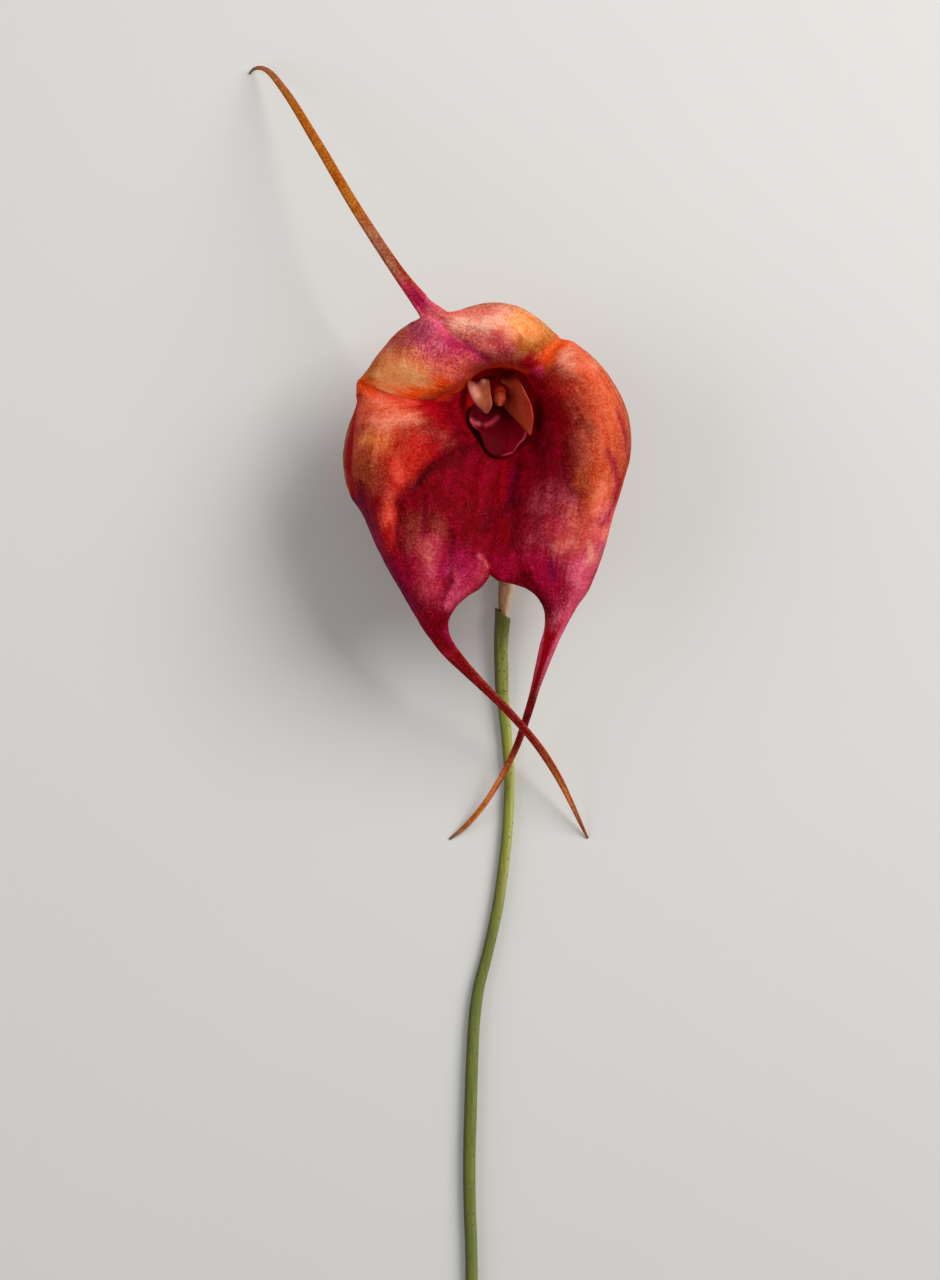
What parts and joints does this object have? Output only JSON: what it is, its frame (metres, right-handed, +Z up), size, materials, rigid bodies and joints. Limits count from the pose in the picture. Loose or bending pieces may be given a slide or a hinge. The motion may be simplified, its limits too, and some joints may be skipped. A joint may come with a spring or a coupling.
{
  "type": "masdevallia orchid flower",
  "caption": "Masdevallia orchid flower on its cut stem, lying face up, with sepals fused into a cup and drawn out into long tails.",
  "frame": {"origin": "middle of the object's box, on the table it lies on", "axes": "+Z up, out of the flower's face; +Y along the stem, from its cut end to the flower"},
  "size_m": [0.0814, 0.2866, 0.0315],
  "materials": {
    "sepals": "fleshy tissue, satin, orange to crimson",
    "petals": "waxy tissue, satin, cream to brown orange",
    "lip": "fleshy tissue, dark maroon with a magenta rim",
    "column": "waxy tissue, brown orange",
    "anther_cap": "waxy tissue, orange brown",
    "ovary": "ribbed stem tissue, tan and purple",
    "pedicel": "stem tissue, tan",
    "floral_bract": "thin dry sheath, olive with purple specks",
    "scape": "stem tissue, olive green"
  },
  "bodies": {
    "root": {"sepals": "sepals", "petal_left": "petals", "petal_right": "petals", "lip": "lip", "column": "column", "anther_cap": "anther_cap", "ovary": "ovary", "pedicel": "pedicel", "floral_bract": "floral_bract", "scape": "scape"}
  },
  "joints": []
}
